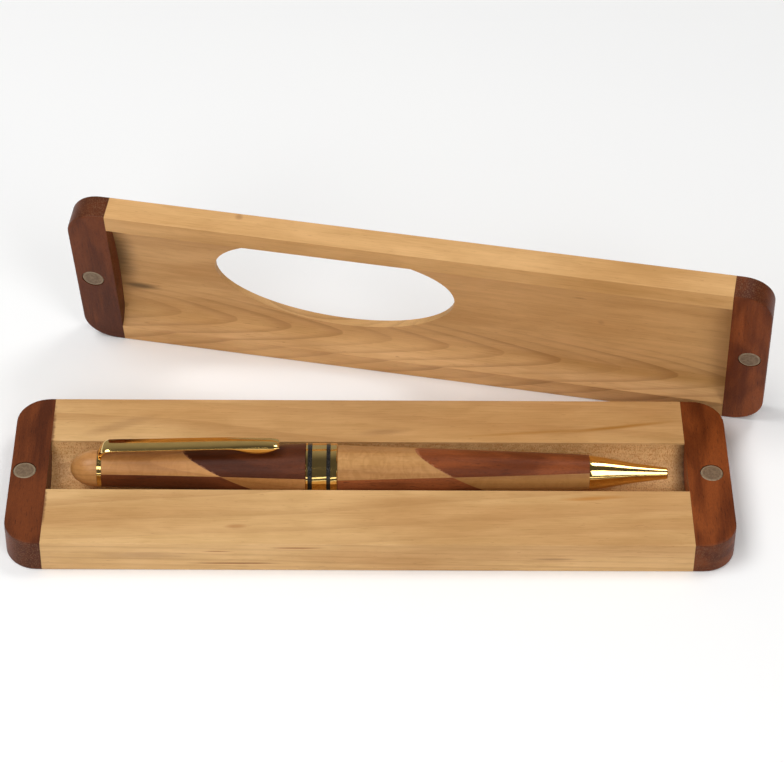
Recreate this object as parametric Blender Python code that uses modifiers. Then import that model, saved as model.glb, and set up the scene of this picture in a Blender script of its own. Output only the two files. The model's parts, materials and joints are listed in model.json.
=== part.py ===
"""Two-piece wooden pen case with a twist pen in its groove.

The case lies along X with its underside on z = 0.  Its lid is off and stands on its long edge
behind the base.  Every lid piece is placed closed on the base and then carried to its standing
place by two empties, one on the swing axis and one on the turn axis.
"""
import math

import bmesh
import bpy
from mathutils import Matrix, Quaternion, Vector

MM = 0.001

# Case, in millimetres
CASE_LENGTH = 170.0
CASE_WIDTH = 49.4
BASE_HEIGHT = 8.6
LID_HEIGHT = 6.4
CORNER_RADIUS = 7.7
EDGE_EASING = 0.4
GLUE_GAP = 0.02
CLOSED_GAP = 0.3
BASE_JOINTS = (-76.2, 74.9)
LID_JOINTS = (-75.2, 75.4)
GROOVE_RADIUS = 8.28
GROOVE_FLOOR = 1.0
GROOVE_Y = 1.5
LID_FLOOR = 1.4
LID_FLOOR_RISE = 0.9
LID_WALL_FRONT = 4.75
LID_WALL_BACK = 5.25
LID_COVE_RADIUS = 6.0

# Oval window in the lid: centre, size and the small angle that it is cut at
WINDOW_CENTRE = (-21.1, -3.05)
WINDOW_SIZE = (59.2, 30.8)
WINDOW_TILT = 2.8

# Magnets
MAGNET_RADIUS = 2.65
MAGNET_THICKNESS = 2.0
MAGNET_SINK = 0.05
POCKET_GAP = 0.12
BASE_MAGNETS = {"left": (-81.7, -0.35), "right": (80.6, -0.35)}
LID_MAGNETS = {"left": (-80.7, 0.6), "right": (80.6, -0.5)}

# The lid standing behind the base: degrees, and where its outer face's centre is in Y
LID_YAW = -10.7
LID_LEAN = 13.2
LID_SWING = 14.45
LID_STANDING_Y = 43.1

# Pen: where its axis runs, then places along it from the middle of the case
PEN_Y = 1.0
PEN_Z = 7.6
PEN_YAW = -0.42
FINIAL_TIP = -71.1
FINIAL_BASE = -64.55
CLIP_RING = (-64.5, -63.5)
UPPER_BARREL = (-63.45, -15.42)
CENTRE_BAND = (-15.4, -7.9)
LOWER_BARREL = (-7.88, 51.55)
NIB_CONE = (51.58, 70.2)
BAND_RADIUS = 6.4
UPPER_RADII = (6.35, 4.35)
UPPER_FULLNESS = 1.55
LOWER_RADII = (4.2, 6.0)
LOWER_FULLNESS = 0.8
BARREL_BORE = 3.6
TUBE_RADII = (3.3, 3.5)
RING_GROOVES = ((-14.85, -13.8), (-10.45, -9.5))
REFILL_RADIUS = 1.2
REFILL_TIP_RADIUS = 0.55
REFILL_TIP_END = 69.6

# Scarf joints in the two barrels: place and slope.  Lengthwise seams: lean towards the front in
# degrees, rise towards the nib end in degrees, and the place where they cross the axis.
SCARF_GRADIENT = 17.0
UPPER_SEAM = (23.5, 0.0, -40.0)
LOWER_SEAM = (26.0, 1.65, 13.5)
UPPER_SCARF = (-34.05, 2.16)
LOWER_SCARF = (21.3, 1.97)

# Clip
CLIP_WIDTH = 4.3
CLIP_TIP_WIDTH = 3.9
CLIP_TOP = ((-64.4, 5.3), (-63.6, 6.6), (-63.1, 7.3), (-62.6, 7.7), (-61.8, 7.85), (-55.0, 8.1),
            (-46.0, 8.5), (-36.0, 8.95), (-27.0, 9.25), (-22.6, 9.2), (-21.8, 8.95), (-21.5, 8.5))
CLIP_UNDER = ((-21.7, 8.1), (-22.6, 7.6), (-24.0, 6.9), (-25.4, 6.4), (-26.9, 6.25), (-28.6, 6.55),
              (-30.4, 7.3), (-32.0, 7.9), (-36.0, 8.05), (-46.0, 7.65), (-55.0, 7.25), (-61.2, 7.0),
              (-62.0, 6.85), (-62.6, 6.4), (-63.5, 4.9), (-63.5, 4.6), (-64.4, 4.6))

TURN_STEPS = 64
BIG = 200.0


# ---------------------------------------------------------------- scene helpers

def clear_scene():
    for item in list(bpy.data.objects):
        bpy.data.objects.remove(item, do_unlink=True)


def new_collection(name):
    collection = bpy.data.collections.new(name)
    bpy.context.scene.collection.children.link(collection)
    return collection


def make_material(name, colour, roughness, metallic=0.0):
    material = bpy.data.materials.new(name)
    material.use_nodes = True
    shader = material.node_tree.nodes["Principled BSDF"]
    shader.inputs["Base Color"].default_value = (*colour, 1.0)
    shader.inputs["Roughness"].default_value = roughness
    shader.inputs["Metallic"].default_value = metallic
    material.diffuse_color = (*colour, 1.0)
    return material


def place(item, collection, parent=None, location=(0, 0, 0)):
    collection.objects.link(item)
    item.parent = parent
    item.location = Vector(location) * MM
    return item


def make_part(name, mesh, colour, parent=None, location=(0, 0, 0), smooth=False):
    item = bpy.data.objects.new(name, mesh)
    place(item, PARTS, parent, location)
    mesh.materials.clear()
    mesh.materials.append(make_material(name, *FINISHES[colour]))
    if smooth:
        mesh.shade_smooth()
        mesh.set_sharp_from_angle(angle=math.radians(35))
    return item


def make_cutter(name, mesh, parent=None, location=(0, 0, 0)):
    item = bpy.data.objects.new(name, mesh)
    place(item, CUTTERS, parent, location)
    item.display_type = "WIRE"
    item.hide_render = True
    return item


def make_empty(name, parent=None, location=(0, 0, 0)):
    return place(bpy.data.objects.new(name, None), PARTS, parent, location)


def ease(item, width, segments):
    """Break every corner sharper than 60 degrees."""
    easing = item.modifiers.new("Easing", "BEVEL")
    easing.width = width * MM
    easing.segments = segments
    easing.limit_method = "ANGLE"
    easing.angle_limit = math.radians(60)


def add_boolean(item, cutter, operation):
    boolean = item.modifiers.new(operation.title(), "BOOLEAN")
    boolean.operation = operation
    boolean.object = cutter
    boolean.solver = "EXACT"


# ---------------------------------------------------------------- meshes

def mesh_from(builder):
    mesh = bpy.data.meshes.new("mesh")
    work = bmesh.new()
    builder(work)
    bmesh.ops.scale(work, vec=(MM, MM, MM), verts=work.verts)
    work.to_mesh(mesh)
    work.free()
    return mesh


def box_mesh(low, high):
    size = Vector(high) - Vector(low)
    middle = (Vector(high) + Vector(low)) / 2
    place_box = Matrix.Translation(middle) @ Matrix.Diagonal((*size, 1.0))
    return mesh_from(lambda work: bmesh.ops.create_cube(work, size=1.0, matrix=place_box))


def cylinder_mesh(radius, depth, matrix, steps=TURN_STEPS):
    def build(work):
        bmesh.ops.create_cone(work, cap_ends=True, segments=steps, radius1=radius, radius2=radius,
                              depth=depth, matrix=matrix)
    return mesh_from(build)


def outline_mesh(points, thickness):
    """Flat closed outline in XY, filled and extruded to its thickness about z = 0."""
    curve = bpy.data.curves.new("outline", "CURVE")
    curve.dimensions = "2D"
    curve.fill_mode = "BOTH"
    curve.extrude = thickness / 2 * MM
    spline = curve.splines.new("POLY")
    spline.points.add(len(points) - 1)
    for point, (x, y) in zip(spline.points, points):
        point.co = (x * MM, y * MM, 0.0, 1.0)
    spline.use_cyclic_u = True
    holder = bpy.data.objects.new("outline", curve)
    CUTTERS.objects.link(holder)
    bpy.context.view_layer.update()
    evaluated = holder.evaluated_get(bpy.context.evaluated_depsgraph_get())
    mesh = bpy.data.meshes.new_from_object(evaluated)
    bpy.data.objects.remove(holder, do_unlink=True)
    work = bmesh.new()
    work.from_mesh(mesh)
    bmesh.ops.remove_doubles(work, verts=work.verts, dist=0.000001)
    bmesh.ops.dissolve_limit(work, angle_limit=0.001, verts=work.verts, edges=work.edges)
    bmesh.ops.recalc_face_normals(work, faces=work.faces)
    work.to_mesh(mesh)
    work.free()
    return mesh


def narrow(mesh, end_scale):
    """Narrow an extruded outline's thickness evenly from its low X end to its high X end."""
    low = min(vert.co.x for vert in mesh.vertices)
    high = max(vert.co.x for vert in mesh.vertices)
    for vert in mesh.vertices:
        along = (vert.co.x - low) / (high - low)
        vert.co.z *= 1.0 + (end_scale - 1.0) * along


def arc(centre, radius, start, end, steps):
    angles = [math.radians(start + (end - start) * i / steps) for i in range(steps + 1)]
    return [(centre[0] + radius * math.cos(a), centre[1] + radius * math.sin(a)) for a in angles]


def rounded_rectangle(length, width, radius, steps=10):
    x = length / 2 - radius
    y = width / 2 - radius
    points = []
    for centre, start in (((x, y), 0), ((-x, y), 90), ((-x, -y), 180), ((x, -y), 270)):
        points += arc(centre, radius, start, start + 90, steps)
    return points


def add_screw(item):
    screw = item.modifiers.new("Screw", "SCREW")
    screw.axis = "Z"
    screw.angle = math.tau
    screw.steps = TURN_STEPS
    screw.render_steps = TURN_STEPS
    screw.use_merge_vertices = True
    screw.merge_threshold = 0.000002
    screw.use_smooth_shade = True


def turned(name, profile, colour, parent, origin_x, closed=False):
    """Turn (radius, x) pairs about the pen's axis; x runs from the nib end to the finial end."""
    mesh = bpy.data.meshes.new(name)
    verts = [(radius * MM, 0.0, (x - origin_x) * MM) for radius, x in profile]
    edges = [(i, i + 1) for i in range(len(verts) - 1)]
    if closed:
        edges.append((len(verts) - 1, 0))
    mesh.from_pydata(verts, edges, [])
    item = make_part(name, mesh, colour, parent)
    item.rotation_euler = (0.0, math.radians(90), 0.0)
    add_screw(item)
    return item


def sleeve(outer, bore, low, high):
    """Closed (radius, x) loop of a plain tube, down its outer side first."""
    return [(outer, high), (outer, low), (bore, low), (bore, high)]


# ---------------------------------------------------------------- case

def case_shell(name, mesh, colour, x_range, height, z_middle, parent, origin):
    """One of the three blocks that a case half is glued up from."""
    item = make_part(name, mesh.copy(), colour, parent, Vector((0, 0, z_middle)) - origin)
    ease(item, EDGE_EASING, 2)
    zone = box_mesh((x_range[0], -BIG, -BIG), (x_range[1], BIG, BIG))
    keep = make_cutter(name + "_zone", zone, parent, Vector((0, 0, z_middle)) - origin)
    add_boolean(item, keep, "INTERSECT")
    return item


def case_half(prefix, joints, height, z_low, parent=None, origin=Vector((0, 0, 0))):
    """Maple middle and two rosewood ends, cut from one rounded outline."""
    outline = rounded_rectangle(CASE_LENGTH, CASE_WIDTH, CORNER_RADIUS)
    mesh = outline_mesh(outline, height)
    z_middle = z_low + height / 2
    half_gap = GLUE_GAP / 2
    ranges = {
        "end_cap_left": (-BIG, joints[0] - half_gap),
        "body": (joints[0] + half_gap, joints[1] - half_gap),
        "end_cap_right": (joints[1] + half_gap, BIG),
    }
    blocks = {}
    for part_name, x_range in ranges.items():
        colour = "maple" if part_name == "body" else "rosewood"
        name = prefix + "_" + part_name
        blocks[part_name] = case_shell(name, mesh, colour, x_range, height, z_middle, parent, origin)
    return blocks


def add_magnet(name, block, centre, rim_z, inward, parent, magnet_parent, origin):
    """Disc in a blind pocket of the rim; inward is -1 where the wood is below the rim."""
    pocket_depth = MAGNET_THICKNESS + MAGNET_SINK + POCKET_GAP
    pocket_z = rim_z + inward * pocket_depth / 2
    # the pocket's cutter stands past the rim by as much as it is deep
    matrix = Matrix.Translation((0, 0, -inward * pocket_depth / 2))
    pocket = cylinder_mesh(MAGNET_RADIUS + POCKET_GAP, pocket_depth * 2, matrix)
    spot = Vector((*centre, 0.0))
    cutter = make_cutter(name + "_pocket", pocket, parent, spot + Vector((0, 0, pocket_z)) - origin)
    add_boolean(block, cutter, "DIFFERENCE")
    disc_z = rim_z + inward * (MAGNET_SINK + MAGNET_THICKNESS / 2)
    disc = cylinder_mesh(MAGNET_RADIUS, MAGNET_THICKNESS, Matrix.Identity(4))
    magnet_origin = origin if magnet_parent is parent else spot
    item = make_part(name, disc, "magnet", magnet_parent, spot + Vector((0, 0, disc_z)) - magnet_origin,
                     smooth=True)
    ease(item, 0.15, 1)


def build_base(swing_pivot):
    blocks = case_half("base", BASE_JOINTS, BASE_HEIGHT, 0.0)
    lengthwise = Matrix.Rotation(math.radians(90), 4, "Y")
    groove = cylinder_mesh(GROOVE_RADIUS, CASE_LENGTH * 2, lengthwise, steps=64)
    cutter = make_cutter("groove_cutter", groove, None, (0, GROOVE_Y, GROOVE_FLOOR + GROOVE_RADIUS))
    add_boolean(blocks["body"], cutter, "DIFFERENCE")
    nowhere = Vector((0, 0, 0))
    for side, centre in BASE_MAGNETS.items():
        block = blocks["end_cap_" + side]
        holder = swing_pivot if side == "left" else None
        add_magnet("base_magnet_" + side, block, centre, BASE_HEIGHT, -1, None, holder, nowhere)


def cove_outline():
    """Section of the lid's hollow, open side up, as (y, z) with z = 0 on the rim.

    Its floor is a shallow curve, thinnest along the middle, between two rounded corners.
    """
    depth = LID_HEIGHT - LID_FLOOR
    front = -CASE_WIDTH / 2 + LID_WALL_FRONT
    back = CASE_WIDTH / 2 - LID_WALL_BACK
    corner = LID_COVE_RADIUS
    corner_z = depth - LID_FLOOR_RISE - corner
    points = [(back, -depth), (back, corner_z)]
    points += arc((back - corner, corner_z), corner, 0, 90, 8)
    span = back - front - 2 * corner
    for step in range(1, 8):
        across = step / 8
        points.append((back - corner - span * across, depth - LID_FLOOR_RISE * (2 * across - 1) ** 2))
    points += arc((front + corner, corner_z), corner, 90, 180, 8)
    points.append((front, -depth))
    return points


def build_lid(parent, origin):
    rim_z = BASE_HEIGHT + CLOSED_GAP
    blocks = case_half("lid", LID_JOINTS, LID_HEIGHT, rim_z, parent, origin)
    hollow = make_cutter("lid_hollow_cutter", outline_mesh(cove_outline(), CASE_LENGTH * 2), parent,
                         Vector((0, 0, rim_z)) - origin)
    hollow.rotation_euler = (math.radians(90), 0.0, math.radians(90))
    add_boolean(blocks["body"], hollow, "DIFFERENCE")
    half_size = Matrix.Diagonal((WINDOW_SIZE[0] / 2, WINDOW_SIZE[1] / 2, 1.0, 1.0))
    tilt = Matrix.Rotation(math.radians(WINDOW_TILT), 4, "Z")
    window = cylinder_mesh(1.0, LID_HEIGHT * 4, tilt @ half_size, steps=64)
    cutter = make_cutter("lid_window_cutter", window, parent, Vector((*WINDOW_CENTRE, rim_z)) - origin)
    add_boolean(blocks["body"], cutter, "DIFFERENCE")
    for side, centre in LID_MAGNETS.items():
        block = blocks["end_cap_" + side]
        add_magnet("lid_magnet_" + side, block, centre, rim_z, 1, parent, parent, origin)


def axis_and_angle(rotation):
    turn = rotation.to_quaternion()
    axis, angle = turn.to_axis_angle()
    return axis, angle


def lid_motion():
    """Swing pivot, turn pivot, turn axis and turn angle that carry the closed lid to its stand."""
    closed_top = Vector((0, 0, BASE_HEIGHT + CLOSED_GAP + LID_HEIGHT))
    standing = (Matrix.Rotation(math.radians(LID_YAW), 3, "Z")
                @ Matrix.Rotation(math.radians(90 + LID_LEAN), 3, "X"))
    face_down = Matrix.Diagonal((1.0, -1.0, -1.0))
    lowest = standing @ Vector((0, -CASE_WIDTH / 2, LID_HEIGHT))
    swing_centre = Vector((*BASE_MAGNETS["left"], 0.0))
    swing = Matrix.Rotation(math.radians(LID_SWING), 3, "Z")
    swung = swing @ standing
    axis, angle = axis_and_angle(face_down @ swung.transposed())

    def swung_place(x):
        place_now = Vector((x, LID_STANDING_Y, -lowest.z))
        return swing @ (place_now - swing_centre) + swing_centre

    # the lid's place along X is where the turn needs no slide along its axis
    slip_at_zero = axis.dot(closed_top - swung_place(0.0))
    slip_per_mm = axis.dot(closed_top - swung_place(1.0)) - slip_at_zero
    start = swung_place(-slip_at_zero / slip_per_mm)
    travel = closed_top - start
    pivot = (closed_top + start) / 2 + axis.cross(travel) / (2 * math.tan(angle / 2))
    return swing_centre, pivot, axis, angle


# ---------------------------------------------------------------- pen

def half_space(name, point, normal, parent):
    """Block that fills the side of a plane that its normal points to."""
    turn = Vector((0, 0, 1)).rotation_difference(Vector(normal)).to_matrix().to_4x4()
    block = box_mesh((-BIG, -BIG, 0.0), (BIG, BIG, BIG))
    item = make_cutter(name, block, parent, point)
    item.rotation_mode = "QUATERNION"
    item.rotation_quaternion = turn.to_quaternion()
    return item


def barrel(prefix, profile, scarf, seam, parent, origin_x):
    """Four glued segments: maple and rosewood swap sides across a scarf and a lengthwise seam."""
    scarf_x, slope = scarf
    gradient = math.radians(SCARF_GRADIENT)
    up_scarf = Vector((1.0, slope * math.sin(gradient), slope * math.cos(gradient))).normalized()
    lean, rise = math.radians(seam[0]), math.radians(seam[1])
    up_seam = Vector((-math.tan(rise), math.sin(lean), math.cos(lean))).normalized()
    scarf_point = Vector((scarf_x - origin_x, 0.0, 0.0))
    seam_point = Vector((seam[2] - origin_x, 0.0, 0.0))
    half_gap = GLUE_GAP / 2
    sides = {
        "nib": half_space(prefix + "_nib_side", scarf_point + up_scarf * half_gap, up_scarf, parent),
        "cap": half_space(prefix + "_cap_side", scarf_point - up_scarf * half_gap, -up_scarf, parent),
        "top": half_space(prefix + "_top_side", seam_point + up_seam * half_gap, up_seam, parent),
        "under": half_space(prefix + "_under_side", seam_point - up_seam * half_gap, -up_seam, parent),
    }
    pieces = (("top_maple", "maple", "cap", "top"), ("top_rosewood", "rosewood", "nib", "top"),
              ("under_rosewood", "rosewood", "cap", "under"), ("under_maple", "maple", "nib", "under"))
    for piece_name, colour, end, side in pieces:
        item = turned(prefix + "_" + piece_name, profile, colour, parent, origin_x, closed=True)
        add_boolean(item, sides[end], "INTERSECT")
        add_boolean(item, sides[side], "INTERSECT")


def barrel_profile(span, end_radii, fullness, steps=14):
    """Wall section of a barrel; its outside bows out from the thin end to the thick end."""
    low, high = span
    at_nib, at_cap = end_radii
    outside = []
    for i in range(steps + 1):
        along = i / steps
        swell = along ** fullness if at_nib < at_cap else 1 - (1 - along) ** fullness
        outside.append((at_nib + (at_cap - at_nib) * swell, high - (high - low) * along))
    return outside + [(BARREL_BORE, low), (BARREL_BORE, high)]


def build_finial(parent, origin_x):
    length = FINIAL_BASE - FINIAL_TIP
    bore = 1.75
    dome = [(4.4 * math.cos(a), FINIAL_BASE - length * math.sin(a))
            for a in [math.radians(90 * i / 9) for i in range(10)]]
    dome[-1] = (0.0, FINIAL_TIP)
    inside = [(0.0, FINIAL_BASE - 3.6), (bore, FINIAL_BASE - 3.6), (bore, FINIAL_BASE)]
    turned("pen_finial", inside + dome, "maple", parent, origin_x)
    stud = FINIAL_BASE - 3.3
    plug = (FINIAL_BASE + 1.5, FINIAL_BASE + 6.0)
    profile = [(0.0, plug[1]), (3.1, plug[1]), (3.1, plug[0]), (1.5, plug[0]), (1.5, stud), (0.0, stud)]
    turned("pen_finial_bushing", profile, "brass", parent, origin_x)


def build_clip(parent, origin_x):
    """Springy strip, on a pivot at its root, and the ring that holds it to the barrel's end."""
    low, high = CLIP_RING
    turned("pen_clip_ring", sleeve(4.4, 1.75, low, high), "gold", parent, origin_x, closed=True)
    root = CLIP_UNDER[-1]
    pivot = make_empty("pen_clip_pivot", parent, (root[0] - origin_x, 0.0, root[1]))
    outline = [(x - root[0], radius - root[1]) for x, radius in CLIP_TOP + CLIP_UNDER]
    mesh = outline_mesh(outline, CLIP_WIDTH)
    narrow(mesh, CLIP_TIP_WIDTH / CLIP_WIDTH)
    strip = make_part("pen_clip", mesh, "gold", pivot)
    strip.rotation_euler = (math.radians(90), 0.0, 0.0)
    ease(strip, 0.25, 2)


def build_centre_band(parent, origin_x):
    low, high = CENTRE_BAND
    floor = 5.6
    outside = [(BAND_RADIUS - 0.15, high), (BAND_RADIUS, high - 0.15)]
    for ring_low, ring_high in reversed(RING_GROOVES):
        outside += [(BAND_RADIUS, ring_high), (floor, ring_high)]
        outside += [(floor, ring_low), (BAND_RADIUS, ring_low)]
    outside += [(BAND_RADIUS, low + 0.15), (BAND_RADIUS - 0.15, low)]
    turned("pen_centre_band", outside + [(BARREL_BORE, low), (BARREL_BORE, high)], "gold", parent,
           origin_x, closed=True)
    for side, (ring_low, ring_high) in zip(("left", "right"), RING_GROOVES):
        loop = sleeve(BAND_RADIUS - 0.05, floor + 0.05, ring_low + 0.02, ring_high - 0.02)
        turned("pen_band_ring_" + side, loop, "black", parent, origin_x, closed=True)


def build_upper_pen(parent, origin_x):
    build_finial(parent, origin_x)
    build_clip(parent, origin_x)
    profile = barrel_profile(UPPER_BARREL, UPPER_RADII, UPPER_FULLNESS)
    barrel("pen_upper_barrel", profile, UPPER_SCARF, UPPER_SEAM, parent, origin_x)
    turned("pen_upper_tube", sleeve(TUBE_RADII[1], TUBE_RADII[0], -62.9, -25.0), "brass", parent,
           origin_x, closed=True)
    build_centre_band(parent, origin_x)
    turned("pen_twist_collar", sleeve(TUBE_RADII[1], 1.9, -24.8, -8.3), "brass", parent, origin_x,
           closed=True)


def build_lower_pen(parent, origin_x):
    profile = barrel_profile(LOWER_BARREL, LOWER_RADII, LOWER_FULLNESS)
    barrel("pen_lower_barrel", profile, LOWER_SCARF, LOWER_SEAM, parent, origin_x)
    turned("pen_lower_tube", sleeve(TUBE_RADII[1], TUBE_RADII[0], 14.0, 46.0), "brass", parent, origin_x,
           closed=True)
    turned("pen_twist_body", sleeve(TUBE_RADII[1], 1.6, -7.6, 13.7), "brass", parent, origin_x,
           closed=True)
    low, high = NIB_CONE
    shank = 47.0
    profile = [(1.2, high), (1.35, high - 0.2), (2.45, high - 8.5), (3.7, low + 3.5), (4.1, low + 0.6),
               (4.1, low), (3.3, low), (3.3, shank), (1.5, shank), (1.5, 65.5), (0.85, 66.5), (0.85, high)]
    turned("pen_nib_cone", profile, "gold", parent, origin_x, closed=True)


def build_refill(parent, origin_x):
    profile = [(0.0, 9.8), (1.3, 9.8), (1.3, -7.2), (0.0, -7.2)]
    turned("pen_twist_spindle", profile, "brass", parent, origin_x)
    tube_end = 60.4
    profile = [(0.0, tube_end), (REFILL_RADIUS, tube_end), (REFILL_RADIUS, 10.0), (0.0, 10.0)]
    turned("pen_refill_tube", profile, "steel", parent, origin_x)
    profile = [(0.0, REFILL_TIP_END), (0.3, REFILL_TIP_END), (REFILL_TIP_RADIUS, REFILL_TIP_END - 1.5),
               (REFILL_TIP_RADIUS, 61.8), (1.0, 60.6), (0.0, 60.6)]
    turned("pen_refill_tip", profile, "brass", parent, origin_x)


# ---------------------------------------------------------------- assembly

def build_case():
    swing_centre, pivot, axis, angle = lid_motion()
    swing_pivot = make_empty("lid_swing_pivot", None, swing_centre)
    magnet_pivot = make_empty("magnet_pivot", None, swing_centre)
    build_base(magnet_pivot)
    swing_pivot.rotation_euler = (0.0, 0.0, -math.radians(LID_SWING))
    turn_pivot = make_empty("lid_turn_pivot", swing_pivot, pivot - swing_centre)
    turn_pivot.rotation_mode = "QUATERNION"
    turn_pivot.rotation_quaternion = Quaternion(axis, -angle)
    build_lid(turn_pivot, pivot)


def build_pen():
    roll = make_empty("pen_roll_axis", None, (LOWER_BARREL[0], PEN_Y, PEN_Z))
    roll.rotation_euler = (0.0, 0.0, math.radians(PEN_YAW))
    build_upper_pen(roll, LOWER_BARREL[0])
    twist = make_empty("pen_twist_axis", roll)
    build_lower_pen(twist, LOWER_BARREL[0])
    build_refill(make_empty("pen_refill_slide", twist), LOWER_BARREL[0])


FINISHES = {
    "maple": ((0.58, 0.36, 0.17), 0.45),
    "rosewood": ((0.20, 0.055, 0.025), 0.4),
    "magnet": ((0.30, 0.27, 0.22), 0.45, 0.8),
    "gold": ((0.90, 0.62, 0.18), 0.15, 1.0),
    "black": ((0.01, 0.01, 0.01), 0.3),
    "brass": ((0.75, 0.52, 0.22), 0.3, 1.0),
    "steel": ((0.55, 0.55, 0.55), 0.3, 1.0),
}

clear_scene()
PARTS = new_collection("wooden_pen_case")
CUTTERS = new_collection("cutters")
build_case()
build_pen()
bpy.context.view_layer.update()
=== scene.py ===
"""Looks for the wooden pen case: procedural woods, plated metal, soft studio light."""

import json
import math
from functools import reduce

import bmesh
import bpy
from mathutils import Euler, Matrix, Vector


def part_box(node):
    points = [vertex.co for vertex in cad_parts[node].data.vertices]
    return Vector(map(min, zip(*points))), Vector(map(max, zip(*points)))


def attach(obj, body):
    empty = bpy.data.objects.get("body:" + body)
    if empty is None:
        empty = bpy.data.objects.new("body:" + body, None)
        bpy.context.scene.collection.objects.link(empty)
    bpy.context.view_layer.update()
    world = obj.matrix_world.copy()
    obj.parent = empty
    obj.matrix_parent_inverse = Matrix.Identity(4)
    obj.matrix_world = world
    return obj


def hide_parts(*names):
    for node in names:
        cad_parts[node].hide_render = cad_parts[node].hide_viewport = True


MM = 0.001
MM_PER_METRE = 1000

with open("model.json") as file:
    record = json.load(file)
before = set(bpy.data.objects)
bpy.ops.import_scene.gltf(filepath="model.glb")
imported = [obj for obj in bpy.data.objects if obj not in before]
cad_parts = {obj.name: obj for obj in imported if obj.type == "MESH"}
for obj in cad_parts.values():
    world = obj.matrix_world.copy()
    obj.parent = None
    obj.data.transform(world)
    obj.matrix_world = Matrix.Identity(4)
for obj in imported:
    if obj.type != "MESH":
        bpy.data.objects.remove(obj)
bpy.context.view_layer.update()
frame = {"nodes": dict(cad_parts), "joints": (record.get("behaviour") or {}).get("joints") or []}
NODES = frame["nodes"]
JOINTS = {joint["name"]: joint for joint in frame["joints"]}

# Camera, in front of the case and above it: place in millimetres, then yaw, pitch and roll in degrees
CAMERA_PLACE = (-1.8, -512.1, 500.0)
CAMERA_TURNS = (-0.73, 47.89, 0.73)
CAMERA_LENS = 137.9
CAMERA_SENSOR = 36.0
CAMERA_CLIP = (0.01, 20.0)

# Softboxes: degrees off straight up towards the front and the right, size in metres and brightness
LIGHT_DISTANCE = 1.3
SOFTBOXES = {
    "front_right": dict(forward=48, right=23, size=(0.40, 0.70), level=0.26),
    "front_left": dict(forward=48, right=-21, size=(0.60, 0.70), level=0.25),
    "front_low": dict(forward=79, right=0, size=(1.20, 0.12), level=0.055),
    "top_right": dict(forward=-16, right=21, size=(0.36, 0.36), level=0.18),
    "top_left": dict(forward=6, right=-28, size=(0.70, 0.70), level=0.53),
}
# How bright the surround is in front of the case and behind it
WORLD_LEVELS = (0.085, 0.35)
# The two values of a direction's Y between which the surround changes
WORLD_RISE = (-0.1, 0.85)
FLOOR_HALF_SIZE = 2.5

# Clip along the pen in millimetres: (x, underside, outside), both as radii from the pen's axis
CLIP_STATIONS = (
    (-64.38, 4.60, 5.20), (-63.90, 4.62, 6.15), (-63.50, 4.90, 6.75), (-63.05, 5.65, 7.32),
    (-62.60, 6.40, 7.66), (-62.00, 6.86, 7.84), (-61.20, 7.00, 7.90), (-59.00, 7.10, 7.97),
    (-55.00, 7.25, 8.10), (-50.00, 7.47, 8.30), (-46.00, 7.65, 8.48), (-41.00, 7.86, 8.72),
    (-36.00, 8.05, 8.94), (-33.50, 8.02, 9.04), (-32.00, 7.88, 9.09), (-30.40, 7.30, 9.14),
    (-28.60, 6.55, 9.19), (-26.90, 6.27, 9.22), (-25.40, 6.42, 9.22), (-24.00, 6.92, 9.21),
    (-22.90, 7.48, 9.16), (-22.10, 7.92, 9.02), (-21.70, 8.15, 8.82), (-21.52, 8.34, 8.60),
)
# Width at the clip's root and tip, before the taper at each end
CLIP_WIDTHS = (4.28, 3.88)
# Taper: share of the full width right at that end, and what each millimetre from it adds
CLIP_ROOT_TAPER = (0.46, 0.34)
CLIP_TIP_TAPER = (0.80, 0.16)
# Section: number of points, and the powers that square it off across and up
CLIP_SECTION_POINTS = 28
CLIP_SQUARING = (0.36, 0.42)
# How far the outside drops to its edges, and the half thickness below which it drops less
CLIP_CROWN = 0.45
CLIP_CROWN_DEPTH = 0.4

# Sharpest edge that is shaded smooth, in degrees, and how close split corners are
SMOOTH_ANGLE = 35
WELD_DISTANCE = 0.000001

# Base of the case in millimetres: its faces, and the groove in it
BASE_TOP = 8.6
BASE_FRONT = -24.7
GROOVE = dict(centre_y=1.5, half_width=8.28, rim_z=BASE_TOP, end_x=74.9)

# Where each scarf joint crosses the pen's axis, its run per millimetre of height, and its tilt in degrees
UPPER_SCARF = (-34.05, 2.16, 17)
LOWER_SCARF = (21.3, 1.97, 17)

# Colours as red, green and blue from 0 to 255. Maple: light wood, tan wood, lines of the growth rings
MAPLES = dict(
    base=((213, 171, 116), (192, 146, 92), (160, 112, 62)),
    lid=((213, 166, 109), (193, 144, 86), (150, 100, 54)),
    pen_warm=((196, 141, 82), (166, 111, 58), (138, 86, 42)),
    pen_pale=((196, 147, 90), (166, 116, 64), (138, 88, 44)),
    pen_low=((172, 122, 66), (148, 98, 50), (124, 76, 38)),
)
# Rosewood: light and dark wood
ROSEWOODS = dict(
    # The caps are one rosewood: the left caps' darker colours are painted shade, the right caps' lighter
    # ones painted light, as if the right side were lit more
    left_cap=((110, 55, 25), (80, 37, 16)),
    right_cap=((132, 66, 28), (92, 41, 15)),
    pen_dark=((94, 46, 21), (70, 32, 14)),
    pen_under=((114, 59, 30), (88, 43, 21)),
    pen_red=((134, 70, 36), (100, 48, 22)),
    pen_bright=((150, 82, 44), (108, 54, 26)),
)
COLOURS = dict(
    maple_fleck=(128, 78, 38),
    torn_grain=(224, 178, 122),
    torn_speck=(168, 104, 46),
    # Painted shade at the groove's right end, next to the end cap
    groove_painted_shade=(78, 46, 22),
    rosewood_pore=(48, 22, 12),
    rosewood_end=(112, 74, 50),
    glue=(176, 120, 82),
    gold=(238, 199, 122),
    brass=(206, 168, 96),
    steel=(170, 170, 172),
    enamel=(14, 12, 11),
    enamel_dust=(34, 28, 22),
    magnet_light=(132, 110, 85),
    magnet_dark=(112, 91, 70),
    magnet_rim=(166, 148, 120),
    floor=(250, 250, 250),
    floor_cloud=(252, 252, 251),
)

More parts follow.
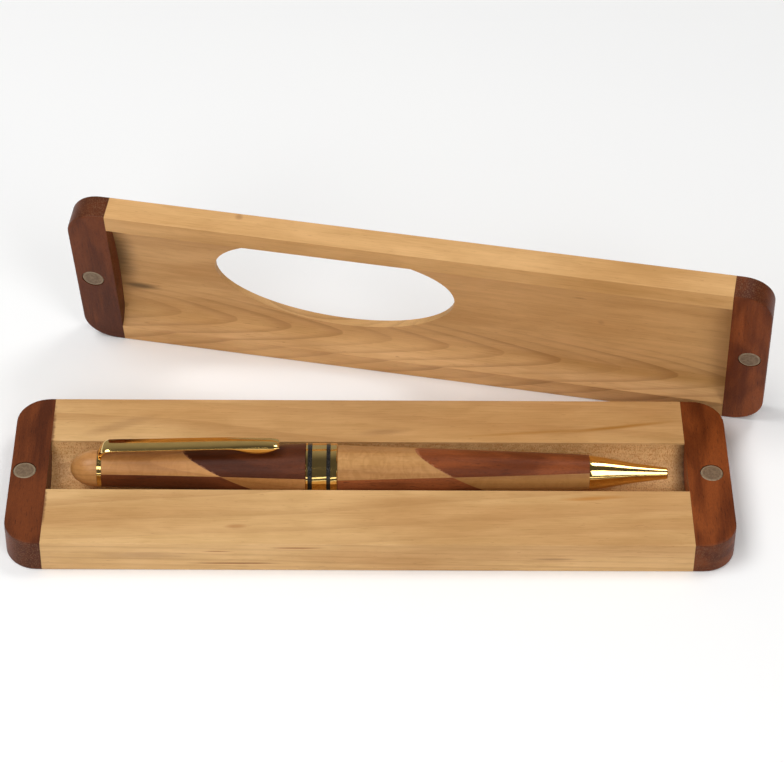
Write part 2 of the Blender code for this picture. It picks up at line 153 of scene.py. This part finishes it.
# Textures of the woods: scale along and across the grain per millimetre, detail, roughness, distortion
MAPLE_GRAIN = dict(
    broad=((0.014, 0.075, 0.075), 2.0, 0.5, 0.4),
    streaks=((0.020, 0.40, 0.40), 3.0, 0.6, 0.6),
    clouds=((0.075, 0.22, 0.22), 3.0, 0.55, 0.5),
    fibres=((0.060, 2.9, 2.9), 4.0, 0.75),
    pores=((0.20, 4.8, 4.8), 1.0),
    flecks=((0.45, 3.9, 3.9), 1.0),
)
CURL_GRAIN = ((0.42, 0.26, 0.26), 1.0, 0.5, 2.2)
ROSEWOOD_GRAIN = dict(
    broad=((0.045, 0.14, 0.14), 2.0, 0.5, 0.6),
    streaks=((0.05, 0.9, 0.9), 4.0, 0.65, 0.4),
    pores=((0.42, 4.4, 4.4), 2.0, 0.5),
    speckle=((1.5, 4.8, 4.8), 3.0, 0.7),
    dots=((2.0, 3.4, 3.4), 2.0, 0.7),
)
# How a texture shades maple: two values of the texture, then the brightness at each
MAPLE_SHADES = dict(
    streaks=(0.30, 0.72, 1.03, 0.955),
    clouds=(0.32, 0.70, 1.04, 0.95),
    fibres=(0.30, 0.72, 1.035, 0.95),
    pores=(0.60, 0.70, 1.0, 0.91),
)
# How far a seed moves the textures along X, Y and Z
MAPLE_SHIFT = (40, 7, 3)
ROSEWOOD_SHIFT = (31, 11, 5)
# How much less rough the pen's lacquer is than the case's satin
MAPLE_GLOSS = 0.14
ROSEWOOD_GLOSS = 0.10


# ---------------------------------------------------------------- frames of reference

def joint_turn(name):
    """Matrix that carries a hinge's child from rest to the far end of its range."""
    joint = JOINTS[name]
    pivot = Matrix.Translation(Vector(joint["pos_m"]))
    angle = math.radians(joint["range_deg"][1])
    return pivot @ Matrix.Rotation(angle, 4, Vector(joint["axis"])) @ pivot.inverted()


def middle(node):
    low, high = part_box(node)
    return (low + high) / 2


def pen_frame():
    """Matrix from the world to the pen's own frame: X along its axis, origin level with the case's."""
    joint = JOINTS["pen_roll"]
    axis = Vector(joint["axis"])
    yaw = math.atan2(axis.y, axis.x)
    centre = Vector(joint["pos_m"])
    level = Matrix.Translation(Vector((centre.x, 0.0, 0.0)))
    return level @ Matrix.Rotation(-yaw, 4, "Z") @ Matrix.Translation(-centre)


LENGTHWISE = Matrix.Identity(4)
CROSSWISE = Matrix.Rotation(math.radians(90), 4, "Z")
TO_PEN = pen_frame()
CLOSE_LID = joint_turn("lid_swing") @ joint_turn("lid_turn")


# ---------------------------------------------------------------- shader helpers

class Shader:
    """One Principled material. A value is a number, a colour or another node's output."""

    def __init__(self, name):
        self.material = bpy.data.materials.new(name)
        self.material.use_nodes = True
        self.tree = self.material.node_tree
        self.surface = self.tree.nodes["Principled BSDF"]

    def feed(self, socket, value):
        if isinstance(value, bpy.types.NodeSocket):
            self.tree.links.new(value, socket)
        else:
            socket.default_value = value

    def node(self, kind, inputs, **settings):
        made = self.tree.nodes.new("ShaderNode" + kind)
        for key, value in settings.items():
            setattr(made, key, value)
        for key, value in inputs.items():
            self.feed(made.inputs[key], value)
        return made

    def maths(self, operation, a, b=0.0):
        return self.node("Math", {0: a, 1: b}, operation=operation).outputs[0]

    def add(self, a, b):
        return self.maths("ADD", a, b)

    def times(self, a, b):
        return self.maths("MULTIPLY", a, b)

    def place(self, to_piece):
        """Coordinates in millimetres in a piece's own frame."""
        world = self.node("TexCoord", {}).outputs["Object"]
        inputs = {"Vector": world, "Location": to_piece.translation * MM_PER_METRE,
                  "Rotation": to_piece.to_euler(), "Scale": (MM_PER_METRE,) * 3}
        return self.node("Mapping", inputs, vector_type="POINT").outputs["Vector"]

    def stretch(self, vector, scale, offset=(0, 0, 0)):
        inputs = {"Vector": vector, "Scale": scale, "Location": offset}
        return self.node("Mapping", inputs).outputs["Vector"]

    def noise(self, vector, scale, detail=2.0, roughness=0.5, distortion=0.0):
        inputs = {"Vector": self.stretch(vector, scale), "Scale": 1.0, "Detail": detail,
                  "Roughness": roughness, "Distortion": distortion}
        return self.node("TexNoise", inputs).outputs["Fac"]

    def between(self, value, low, high, to_low=0.0, to_high=1.0):
        inputs = {"Value": value, "From Min": low, "From Max": high, "To Min": to_low, "To Max": to_high}
        made = self.node("MapRange", inputs, interpolation_type="SMOOTHSTEP")
        return made.outputs["Result"]

    def mix(self, factor, a, b, blend="MIX"):
        made = self.node("Mix", {0: factor, 6: a, 7: b}, data_type="RGBA", blend_type=blend)
        return made.outputs[2]

    def brighten(self, colour, factor):
        """Colour times a grey factor."""
        grey = self.node("CombineColor", {0: factor, 1: factor, 2: factor}).outputs[0]
        return self.mix(1.0, colour, grey, "MULTIPLY")

    def warm_shade(self, colour, factor):
        """Colour times a factor that takes more blue than red, as darker wood does."""
        parts = {0: factor, 1: self.maths("POWER", factor, 1.2), 2: self.maths("POWER", factor, 1.8)}
        return self.mix(1.0, colour, self.node("CombineColor", parts).outputs[0], "MULTIPLY")

    def split(self, vector):
        return self.node("SeparateXYZ", {"Vector": vector}).outputs

    def bump(self, height, strength, distance):
        inputs = {"Height": height, "Strength": strength, "Distance": distance}
        normal = self.node("Bump", inputs).outputs["Normal"]
        self.feed(self.surface.inputs["Normal"], normal)

    def set(self, **inputs):
        """Values for the surface's own inputs, such as Base_Color for Base Color."""
        for key, value in inputs.items():
            self.feed(self.surface.inputs[key.replace("_", " ")], value)


def srgb(colour):
    """Scene colour from red, green and blue from 0 to 255."""
    def linear(value):
        value /= 255
        return value / 12.92 if value <= 0.04045 else ((value + 0.055) / 1.055) ** 2.4
    return (*map(linear, colour), 1.0)


def shifted_place(shader, place, seed, shift):
    return shader.stretch(place, (1, 1, 1), [seed * step for step in shift])


def blotch(shader, place, centre, reach, lean, ragged):
    """Soft-edged patch, 1 at its centre; reach is its half size along X, Y and Z."""
    moved = shader.node("Mapping", {"Vector": place, "Location": centre}, vector_type="TEXTURE").outputs[0]
    turned = shader.node("Mapping", {"Vector": moved, "Rotation": (0, 0, math.radians(lean))},
                         vector_type="TEXTURE").outputs[0]
    scaled = shader.stretch(turned, [1 / size for size in reach])
    distance = shader.node("VectorMath", {0: scaled}, operation="LENGTH").outputs["Value"]
    edge = shader.noise(place, (0.12, 0.9, 0.9), 3.0)
    distance = shader.add(distance, shader.times(edge, ragged))
    return shader.between(distance, 1.0 + ragged / 2, 0.15 + ragged / 2)


def add_marks(shader, place, colour, marks):
    for mark in marks:
        factor = blotch(shader, place, mark["centre"], mark["reach"], mark["lean"], mark["ragged"])
        colour = shader.mix(shader.times(factor, mark["strength"]), colour, srgb(mark["colour"]))
    return colour


# ---------------------------------------------------------------- woods

def growth_rings(shader, place, pith, slope, spacing, wander):
    """How far up its growth ring a point is, 0 to 1; the pith runs along X, rising by slope."""
    y, z = pith
    drift = shader.noise(place, (0.014, 0.06, 0.06), 1.0)
    ripple = shader.noise(place, (0.07, 0.25, 0.25), 1.0)
    parts = shader.split(place)
    across = shader.maths("SUBTRACT", parts["Y"], y)
    up = shader.maths("SUBTRACT", parts["Z"], z)
    squares = shader.add(shader.maths("POWER", across, 2.0), shader.maths("POWER", up, 2.0))
    distance = shader.add(shader.maths("SQRT", squares), shader.times(parts["X"], slope))
    distance = shader.add(distance, shader.times(drift, wander))
    distance = shader.add(distance, shader.times(ripple, wander * 0.18))
    rings = shader.maths("DIVIDE", distance, spacing)
    inputs = {"W": shader.times(shader.maths("FLOOR", rings), 0.77), "Scale": 1.0, "Detail": 0.0}
    weight = shader.node("TexNoise", inputs, noise_dimensions="1D").outputs["Fac"]
    return shader.maths("FRACT", rings), shader.between(weight, 0.3, 0.6, 0.45, 1.0)


def maple(name, to_piece, colours, pith=(9.0, -22.0), slope=0.03, spacing=0.6, ring_depth=0.3,
          wander=1.2, marks=(), seed=0.0, groove=None, figured=None, curl=0.0, gloss=0.0):
    """Pale satin wood: broad tone, growth rings, streaks, fine fibres, pores and flecks.

    The rings show only past figured, a low and a high Y; curl is a faint ripple across the grain.
    """
    light, tan, line = map(srgb, colours)
    shader = Shader(name)
    place = shader.place(to_piece)
    shifted = shifted_place(shader, place, seed, MAPLE_SHIFT)
    grain = {key: shader.noise(shifted, *settings) for key, settings in MAPLE_GRAIN.items()}
    ring, weight = growth_rings(shader, place, pith, slope, spacing, wander)
    latewood = shader.times(shader.between(ring, 0.50, 0.94), shader.between(ring, 1.0, 0.96))
    latewood = shader.times(latewood, weight)
    if figured:
        low, high = figured
        latewood = shader.times(latewood, shader.between(shader.split(place)["Y"], low, high, 0.10, 1.0))
    colour = shader.mix(shader.between(grain["broad"], 0.32, 0.70), light, tan)
    colour = shader.mix(shader.times(latewood, ring_depth), colour, line)
    shade = reduce(shader.times, [shader.between(grain[key], *span) for key, span in MAPLE_SHADES.items()])
    if curl:
        ripple = shader.noise(shifted, *CURL_GRAIN)
        shade = shader.times(shade, shader.between(ripple, 0.32, 0.68, 1.0 + curl, 1.0 - curl))
    colour = shader.warm_shade(colour, shade)
    flecks = shader.between(grain["flecks"], 0.71, 0.80, 0.0, 0.35)
    colour = shader.mix(flecks, colour, srgb(COLOURS["maple_fleck"]))
    if groove:
        colour = groove_specks_and_shade(shader, place, colour, **groove)
    colour = add_marks(shader, place, colour, marks)
    roughness = shader.between(grain["fibres"], 0.25, 0.75, 0.42 - gloss, 0.56 - gloss)
    shader.set(Base_Color=colour, Specular_IOR_Level=0.28, Roughness=roughness)
    shader.bump(shader.add(grain["fibres"], shader.times(latewood, 0.3)), 0.16, 0.00012)
    return shader.material


def groove_specks_and_shade(shader, place, colour, centre_y, half_width, rim_z, end_x):
    """Orange torn-grain specks on the groove's rough wall, and painted shade that darkens the groove
    towards its right end, where the end cap's wall shades it.
    """
    parts = shader.split(place)
    below = shader.between(parts["Z"], rim_z - 0.15, rim_z - 0.6)
    inside = shader.maths("ABSOLUTE", shader.maths("SUBTRACT", parts["Y"], centre_y))
    inside = shader.between(inside, half_width + 0.3, half_width - 0.1)
    zone = shader.times(below, inside)
    coarse = shader.between(shader.noise(place, (0.5, 0.9, 0.9), 3.0, 0.7), 0.40, 0.62, 0.0, 0.55)
    fine = shader.between(shader.noise(place, (3.6, 2.2, 2.2), 3.0, 0.75), 0.49, 0.61, 0.0, 0.72)
    # Painted shade: darker over the last few millimetres before the right end cap
    painted_end_shade = shader.between(parts["X"], end_x - 3.6, end_x, 0.0, 0.8)
    for factor, key in ((coarse, "torn_grain"), (fine, "torn_speck"), (painted_end_shade, "groove_painted_shade")):
        colour = shader.mix(shader.times(factor, zone), colour, srgb(COLOURS[key]))
    return colour


def end_grain(shader, to_piece):
    """1 on faces that cut straight across the grain, 0 on faces along it."""
    normal = shader.node("TexCoord", {}).outputs["Normal"]
    inputs = {"Vector": normal, "Rotation": to_piece.to_euler()}
    turned = shader.node("Mapping", inputs, vector_type="VECTOR").outputs["Vector"]
    facing = shader.maths("ABSOLUTE", shader.split(turned)["X"])
    return shader.between(facing, 0.45, 0.95)


def rosewood(name, to_piece, colours, seed=0.0, scarf=None, gloss=0.0):
    """Red-brown wood with dark streaks, short dark pores along its grain and darker end grain."""
    light, dark = map(srgb, colours)
    shader = Shader(name)
    place = shader.place(to_piece)
    shifted = shifted_place(shader, place, seed, ROSEWOOD_SHIFT)
    grain = {key: shader.noise(shifted, *settings) for key, settings in ROSEWOOD_GRAIN.items()}
    factor = shader.add(shader.times(grain["broad"], 0.74), shader.times(grain["streaks"], 0.26))
    colour = shader.mix(shader.between(factor, 0.36, 0.63), light, dark)
    colour = shader.brighten(colour, shader.between(grain["speckle"], 0.28, 0.74, 1.13, 0.88))
    pores = shader.between(grain["pores"], 0.58, 0.70, 0.0, 0.45)
    colour = shader.mix(pores, colour, srgb(COLOURS["rosewood_pore"]))
    ends = end_grain(shader, to_piece)
    dots = shader.between(grain["dots"], 0.50, 0.64, 0.0, 0.8)
    colour = shader.brighten(colour, shader.between(ends, 0.0, 1.0, 1.0, 0.72))
    colour = shader.mix(shader.times(ends, dots), colour, srgb(COLOURS["rosewood_end"]))
    if scarf:
        colour = glue_line(shader, place, colour, *scarf)
    roughness = shader.between(grain["speckle"], 0.2, 0.8, 0.36 - gloss, 0.50 - gloss)
    shader.set(Base_Color=colour, Roughness=roughness, Specular_IOR_Level=0.15)
    shader.bump(shader.maths("SUBTRACT", grain["speckle"], pores), 0.20, 0.00014)
    return shader.material


def glue_line(shader, place, colour, scarf_x, slope, tilt):
    """Thin broken pale line where the scarf joint meets the surface."""
    lean = math.radians(tilt)
    parts = shader.split(place)
    height = shader.add(shader.times(parts["Y"], slope * math.sin(lean)),
                        shader.times(parts["Z"], slope * math.cos(lean)))
    along = shader.maths("ABSOLUTE", shader.maths("SUBTRACT", shader.add(parts["X"], height), scarf_x))
    chips = shader.noise(place, (1.4, 1.4, 1.4), 3.0, 0.7)
    width = shader.between(chips, 0.40, 0.62, 0.1, 1.0)
    line = shader.between(shader.maths("DIVIDE", along, width), 1.0, 0.3, 0.0, 0.55)
    return shader.mix(line, colour, srgb(COLOURS["glue"]))


# ---------------------------------------------------------------- metals

def plated(name, colour, roughness, worn):
    """Metal with faint scratches and a slightly uneven colour; worn is how much rougher it is in places."""
    shader = Shader(name)
    place = shader.place(TO_PEN)
    scratches = shader.noise(place, (0.4, 8.0, 8.0), 3.0, 0.6)
    cloud = shader.noise(place, (0.3, 0.6, 0.6), 2.0)
    shade = shader.between(cloud, 0.3, 0.7, 1.0, 0.92)
    shader.set(Base_Color=shader.brighten(srgb(colour), shade), Metallic=1.0,
               Roughness=shader.between(scratches, 0.3, 0.75, roughness, roughness + worn))
    shader.bump(scratches, 0.03, 0.00005)
    return shader.material


def enamel(name):
    shader = Shader(name)
    place = shader.place(LENGTHWISE)
    dust = shader.noise(place, (3.0, 3.0, 3.0), 3.0)
    shader.set(Base_Color=shader.mix(dust, srgb(COLOURS["enamel"]), srgb(COLOURS["enamel_dust"])),
               Roughness=shader.between(dust, 0.3, 0.7, 0.16, 0.30))
    return shader.material


def magnet_plate(name, to_piece, centre, radius):
    """Dull plated disc: mottled middle, slightly brighter rim."""
    shader = Shader(name)
    place = shader.place(to_piece)
    moved = shader.node("Mapping", {"Vector": place, "Location": centre}, vector_type="TEXTURE").outputs[0]
    flat = shader.stretch(moved, (1 / radius, 1 / radius, 0.0))
    distance = shader.node("VectorMath", {0: flat}, operation="LENGTH").outputs["Value"]
    mottle = shader.noise(place, (1.3, 1.3, 1.3), 4.0, 0.7)
    rim = shader.between(distance, 0.74, 0.94)
    rim = shader.times(rim, shader.between(mottle, 0.38, 0.58, 0.1, 0.8))
    colour = shader.mix(shader.between(mottle, 0.38, 0.62), srgb(COLOURS["magnet_light"]),
                        srgb(COLOURS["magnet_dark"]))
    colour = shader.mix(rim, colour, srgb(COLOURS["magnet_rim"]))
    shader.set(Base_Color=colour, Metallic=0.35, Roughness=shader.between(mottle, 0.3, 0.7, 0.42, 0.60))
    shader.bump(mottle, 0.35, 0.00010)
    return shader.material


# ---------------------------------------------------------------- pieces

def smooth_by_angle():
    """Node group that joins split corners and shades all but the sharper edges smooth."""
    group = bpy.data.node_groups.new("smooth_by_angle", "GeometryNodeTree")
    group.interface.new_socket("Geometry", in_out="INPUT", socket_type="NodeSocketGeometry")
    group.interface.new_socket("Geometry", in_out="OUTPUT", socket_type="NodeSocketGeometry")
    start = group.nodes.new("NodeGroupInput")
    end = group.nodes.new("NodeGroupOutput")
    bare = group.nodes.new("GeometryNodeRemoveAttribute")
    bare.inputs["Name"].default_value = "custom_normal"
    weld = group.nodes.new("GeometryNodeMergeByDistance")
    weld.inputs["Distance"].default_value = WELD_DISTANCE
    faces = group.nodes.new("GeometryNodeSetShadeSmooth")
    faces.domain = "FACE"
    edges = group.nodes.new("GeometryNodeSetShadeSmooth")
    edges.domain = "EDGE"
    edges.inputs["Shade Smooth"].default_value = False
    angle = group.nodes.new("GeometryNodeInputMeshEdgeAngle")
    sharp = group.nodes.new("FunctionNodeCompare")
    sharp.data_type = "FLOAT"
    sharp.operation = "GREATER_THAN"
    sharp.inputs[1].default_value = math.radians(SMOOTH_ANGLE)
    chain = [start.outputs[0], bare, weld, faces, edges, end.inputs[0]]
    for before, after in zip(chain, chain[1:]):
        source = before if isinstance(before, bpy.types.NodeSocket) else before.outputs[0]
        target = after if isinstance(after, bpy.types.NodeSocket) else after.inputs[0]
        group.links.new(source, target)
    group.links.new(angle.outputs["Unsigned Angle"], sharp.inputs[0])
    group.links.new(sharp.outputs[0], edges.inputs["Selection"])
    return group


def smooth_nodes():
    group = smooth_by_angle()
    for item in NODES.values():
        item.modifiers.new("Smooth", "NODES").node_group = group
        weighted = item.modifiers.new("Weighted", "WEIGHTED_NORMAL")
        weighted.keep_sharp = True


def set_material(node, material):
    mesh = NODES[node].data
    mesh.materials.clear()
    mesh.materials.append(material)
    for face in mesh.polygons:
        face.material_index = 0


def clip_section(x, under, outside, half_width):
    """Softly squared cross-section of the clip at one station, in millimetres in the pen's frame."""
    centre = (outside + under) / 2
    half_depth = (outside - under) / 2
    points = []
    for step in range(CLIP_SECTION_POINTS):
        angle = math.tau * step / CLIP_SECTION_POINTS
        across = math.copysign(abs(math.cos(angle)) ** CLIP_SQUARING[0], math.cos(angle))
        up = math.copysign(abs(math.sin(angle)) ** CLIP_SQUARING[1], math.sin(angle))
        crown = CLIP_CROWN * min(1.0, half_depth / CLIP_CROWN_DEPTH) * across ** 2 * max(up, 0.0)
        points.append(Vector((x, across * half_width, centre + up * half_depth - crown)))
    return points


def taper(end, distance):
    share, gain = end
    return share + distance * gain


def build_clip():
    """Pressed strip with rounded edges, lofted from one cross-section to the next."""
    from_pen = TO_PEN.inverted()
    first, last = CLIP_STATIONS[0][0], CLIP_STATIONS[-1][0]
    work = bmesh.new()
    rings = []
    for x, under, outside in CLIP_STATIONS:
        along = (x - first) / (last - first)
        width = CLIP_WIDTHS[0] + (CLIP_WIDTHS[1] - CLIP_WIDTHS[0]) * along
        width *= min(1.0, taper(CLIP_TIP_TAPER, last - x), taper(CLIP_ROOT_TAPER, x - first))
        points = clip_section(x, under, outside, width / 2)
        rings.append([work.verts.new(from_pen @ (point * MM)) for point in points])
    for ring, following in zip(rings, rings[1:]):
        for i in range(len(ring)):
            j = (i + 1) % len(ring)
            work.faces.new((ring[i], ring[j], following[j], following[i]))
    work.faces.new(list(reversed(rings[0])))
    work.faces.new(rings[-1])
    bmesh.ops.recalc_face_normals(work, faces=work.faces)
    for face in work.faces:
        face.smooth = True
    mesh = bpy.data.meshes.new("clip_strip")
    work.to_mesh(mesh)
    work.free()
    strip = bpy.data.objects.new("clip_strip", mesh)
    bpy.context.scene.collection.objects.link(strip)
    rounding = strip.modifiers.new("Rounding", "SUBSURF")
    rounding.levels = 1
    rounding.render_levels = 1
    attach(strip, "pen_clip")
    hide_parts("pen_clip")
    return strip


def mark(centre, reach, strength, colour, lean=0.0, ragged=0.5):
    """Settings of one soft patch: half size along X, Y and Z, depth of colour, lean in degrees."""
    return dict(centre=centre, reach=reach, strength=strength, colour=colour, lean=lean, ragged=ragged)


def base_marks():
    """Streaks on top, a soft band of painted shade at the back left, pores on the front face, chips along
    the end caps, and the groove's dark end: a dark ragged joint at the right cap with painted shade in its
    gap.
    """
    return (
        mark((-31.2, -18.8, BASE_TOP), (3.6, 1.0, 4.0), 0.55, (160, 104, 50), lean=3),
        mark((52.3, -9.2, BASE_TOP), (10.0, 1.0, 3.0), 0.8, (182, 122, 54), lean=4),
        mark((60.0, 15.4, BASE_TOP), (17.0, 0.9, 6.0), 0.8, (164, 110, 40), lean=9),
        mark((38.0, 13.2, BASE_TOP), (22.0, 0.7, 6.0), 0.6, (166, 114, 50), lean=5),
        mark((3.0, 13.3, BASE_TOP), (8.0, 1.6, 6.0), 0.4, (134, 94, 56), lean=6),
        # Soft diagonal band of painted shade at the back left of the top
        mark((-60.0, 15.4, BASE_TOP), (13.0, 2.2, 6.0), 0.35, (142, 100, 62), lean=22),
        mark((-35.5, BASE_FRONT, 6.2), (4.5, 2.0, 0.30), 0.7, (150, 88, 42)),
        mark((-17.0, BASE_FRONT, 7.4), (8.0, 2.0, 0.32), 0.8, (146, 84, 40)),
        mark((-31.0, BASE_FRONT, 2.4), (15.0, 2.0, 0.34), 0.9, (130, 72, 34)),
        mark((42.0, BASE_FRONT, 4.0), (7.0, 2.0, 0.50), 0.5, (122, 80, 50)),
        mark((-52.0, BASE_FRONT, 4.8), (14.0, 3.0, 1.6), 0.35, (138, 98, 66)),
        mark((-76.2, 13.0, BASE_TOP), (0.9, 12.0, 1.0), 0.8, (98, 52, 26), ragged=1.3),
        mark((-76.2, -12.0, BASE_TOP), (0.7, 9.0, 1.0), 0.7, (98, 52, 26), ragged=1.3),
        # Dark ragged joint where the groove meets the right end cap, with painted shade in its gap
        mark((74.9, 4.0, 5.0), (0.8, 7.5, 5.0), 1.0, (46, 24, 14), ragged=1.3),
    )


def lid_marks():
    """Dark stain at the left end, knot and fleck on the floor, and a speck on the edge."""
    return (
        mark((-70.5, 7.5, 14.0), (6.5, 1.6, 3.0), 0.8, (88, 62, 30)),
        mark((-75.5, -4.0, 14.0), (6.5, 18.0, 4.0), 0.85, (98, 74, 42)),
        mark((39.0, -10.5, 13.9), (2.6, 0.5, 1.0), 0.7, (118, 74, 34)),
        mark((44.3, -1.0, 13.9), (1.2, 1.2, 1.0), 0.2, (118, 78, 42)),
        mark((-43.2, -24.7, 14.2), (1.3, 1.0, 1.3), 0.45, (132, 84, 42)),
    )


def finish_case():
    set_material("base_body", maple("base_maple", LENGTHWISE, MAPLES["base"], pith=(4.0, -60.0),
                                    slope=0.02, spacing=1.7, ring_depth=0.28, marks=base_marks(),
                                    groove=GROOVE))
    set_material("lid_body", maple("lid_maple", CLOSE_LID, MAPLES["lid"], pith=(17.5, 19.3), slope=0.13,
                                   spacing=1.8, ring_depth=0.42, wander=1.6, marks=lid_marks(), seed=2.0,
                                   figured=(5.0, 12.5)))
    caps = (
        ("base", "left", CROSSWISE, 1.0),
        ("lid", "left", CROSSWISE @ CLOSE_LID, 3.0),
        ("base", "right", CROSSWISE, 2.0),
        ("lid", "right", CROSSWISE @ CLOSE_LID, 4.0),
    )
    for half, side, to_piece, seed in caps:
        material = rosewood(f"{half}_{side}_rosewood", to_piece, ROSEWOODS[side + "_cap"], seed=seed)
        set_material(f"{half}_end_cap_{side}", material)
    for side in ("left", "right"):
        low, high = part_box("base_magnet_" + side)
        radius = (high.x - low.x) / 2 * MM_PER_METRE
        for half, frame_of in (("base", LENGTHWISE), ("lid", CLOSE_LID)):
            name = half + "_magnet_" + side
            centre = frame_of @ middle(name) * MM_PER_METRE
            set_material(name, magnet_plate(name + "_plate", frame_of, centre, radius))


def finish_pen_wood():
    """Finial and the four glued segments of each barrel."""
    warm = dict(colours=MAPLES["pen_warm"], gloss=MAPLE_GLOSS, curl=0.04)
    pale = dict(colours=MAPLES["pen_pale"], gloss=MAPLE_GLOSS, curl=0.07)
    low = dict(colours=MAPLES["pen_low"], gloss=MAPLE_GLOSS, curl=0.04)
    dark = dict(colours=ROSEWOODS["pen_dark"], gloss=ROSEWOOD_GLOSS)
    under = dict(colours=ROSEWOODS["pen_under"], gloss=ROSEWOOD_GLOSS)
    red = dict(colours=ROSEWOODS["pen_red"], gloss=ROSEWOOD_GLOSS)
    bright = dict(colours=ROSEWOODS["pen_bright"], gloss=ROSEWOOD_GLOSS)
    looks = {
        "pen_finial": maple("pen_finial_maple", TO_PEN, pith=(2.0, 9.0), spacing=1.2, seed=5.0, **warm),
        "pen_upper_barrel_top_maple": maple("pen_upper_maple", TO_PEN, spacing=1.3, seed=6.0, **warm),
        "pen_upper_barrel_under_maple": maple("pen_under_maple", TO_PEN, spacing=1.3, seed=7.0, **warm),
        "pen_lower_barrel_top_maple": maple("pen_lower_maple", TO_PEN, spacing=1.3, seed=8.0, **pale),
        "pen_lower_barrel_under_maple": maple("pen_low_maple", TO_PEN, spacing=1.3, seed=9.0, **low),
        "pen_upper_barrel_top_rosewood": rosewood("pen_upper_rosewood", TO_PEN, seed=6.0,
                                                  scarf=UPPER_SCARF, **dark),
        "pen_upper_barrel_under_rosewood": rosewood("pen_under_rosewood", TO_PEN, seed=7.0, **under),
        "pen_lower_barrel_top_rosewood": rosewood("pen_lower_rosewood", TO_PEN, seed=8.0,
                                                  scarf=LOWER_SCARF, **red),
        "pen_lower_barrel_under_rosewood": rosewood("pen_low_rosewood", TO_PEN, seed=9.0, **bright),
    }
    for node, material in looks.items():
        set_material(node, material)


def finish_pen_metal():
    gold = plated("gold_plate", COLOURS["gold"], 0.06, 0.05)
    for node in ("pen_clip", "pen_clip_ring", "pen_centre_band", "pen_nib_cone"):
        set_material(node, gold)
    build_clip().data.materials.append(gold)
    black = enamel("black_enamel")
    for node in ("pen_band_ring_left", "pen_band_ring_right"):
        set_material(node, black)
    brass = plated("drawn_brass", COLOURS["brass"], 0.28, 0.15)
    for node in ("pen_finial_bushing", "pen_upper_tube", "pen_lower_tube", "pen_twist_collar",
                 "pen_twist_body", "pen_twist_spindle", "pen_refill_tip"):
        set_material(node, brass)
    set_material("pen_refill_tube", plated("drawn_steel", COLOURS["steel"], 0.30, 0.15))


# ---------------------------------------------------------------- stage

def add_floor():
    mesh = bpy.data.meshes.new("floor")
    work = bmesh.new()
    bmesh.ops.create_grid(work, x_segments=8, y_segments=8, size=FLOOR_HALF_SIZE)
    work.to_mesh(mesh)
    work.free()
    floor = bpy.data.objects.new("floor", mesh)
    bpy.context.scene.collection.objects.link(floor)
    shader = Shader("pale_floor")
    place = shader.place(LENGTHWISE)
    cloud = shader.noise(place, (0.01, 0.01, 0.01), 2.0)
    shader.set(Base_Color=shader.mix(cloud, srgb(COLOURS["floor"]), srgb(COLOURS["floor_cloud"])),
               Roughness=0.9, Specular_IOR_Level=0.1)
    mesh.materials.append(shader.material)


def add_softbox(name, forward, right, size, level):
    """Soft light at a fixed distance; level is how bright it alone makes a white card that faces it."""
    lean, side = math.radians(forward), math.radians(right)
    direction = Vector((math.sin(side), -math.sin(lean) * math.cos(side), math.cos(lean) * math.cos(side)))
    light = bpy.data.lights.new(name, "AREA")
    light.shape = "RECTANGLE"
    light.size, light.size_y = size
    light.energy = level * (math.pi * LIGHT_DISTANCE) ** 2
    item = bpy.data.objects.new(name, light)
    item.location = direction * LIGHT_DISTANCE
    item.rotation_euler = direction.to_track_quat("Z", "Y").to_euler()
    bpy.context.scene.collection.objects.link(item)


def add_lights():
    for name, settings in SOFTBOXES.items():
        add_softbox(name, **settings)
    bpy.context.scene.world = studio_world()


def studio_world():
    """Dim surround that brightens from the front to the back."""
    world = bpy.data.worlds.new("studio")
    world.use_nodes = True
    tree = world.node_tree
    direction = tree.nodes.new("ShaderNodeTexCoord")
    parts = tree.nodes.new("ShaderNodeSeparateXYZ")
    rise = tree.nodes.new("ShaderNodeMapRange")
    rise.interpolation_type = "SMOOTHSTEP"
    rise.inputs["From Min"].default_value, rise.inputs["From Max"].default_value = WORLD_RISE
    rise.inputs["To Min"].default_value, rise.inputs["To Max"].default_value = WORLD_LEVELS
    tree.links.new(direction.outputs["Generated"], parts.inputs[0])
    tree.links.new(parts.outputs["Y"], rise.inputs["Value"])
    tree.nodes["Background"].inputs["Color"].default_value = (1.0, 1.0, 1.0, 1.0)
    tree.links.new(rise.outputs["Result"], tree.nodes["Background"].inputs["Strength"])
    return world


def add_camera():
    camera = bpy.data.cameras.new("camera")
    camera.lens = CAMERA_LENS
    camera.sensor_width = CAMERA_SENSOR
    camera.clip_start, camera.clip_end = CAMERA_CLIP
    item = bpy.data.objects.new("camera", camera)
    yaw, pitch, roll = (math.radians(angle) for angle in CAMERA_TURNS)
    turns = [Euler(turn).to_matrix() for turn in ((0, 0, yaw), (pitch, 0, 0), (0, 0, roll))]
    turn = turns[0] @ turns[1] @ turns[2]
    item.matrix_world = Matrix.Translation(Vector(CAMERA_PLACE) * MM) @ turn.to_4x4()
    bpy.context.scene.collection.objects.link(item)
    bpy.context.scene.camera = item


smooth_nodes()
finish_case()
finish_pen_wood()
finish_pen_metal()
add_floor()
add_lights()
add_camera()
bpy.context.scene.view_settings.view_transform = "Standard"
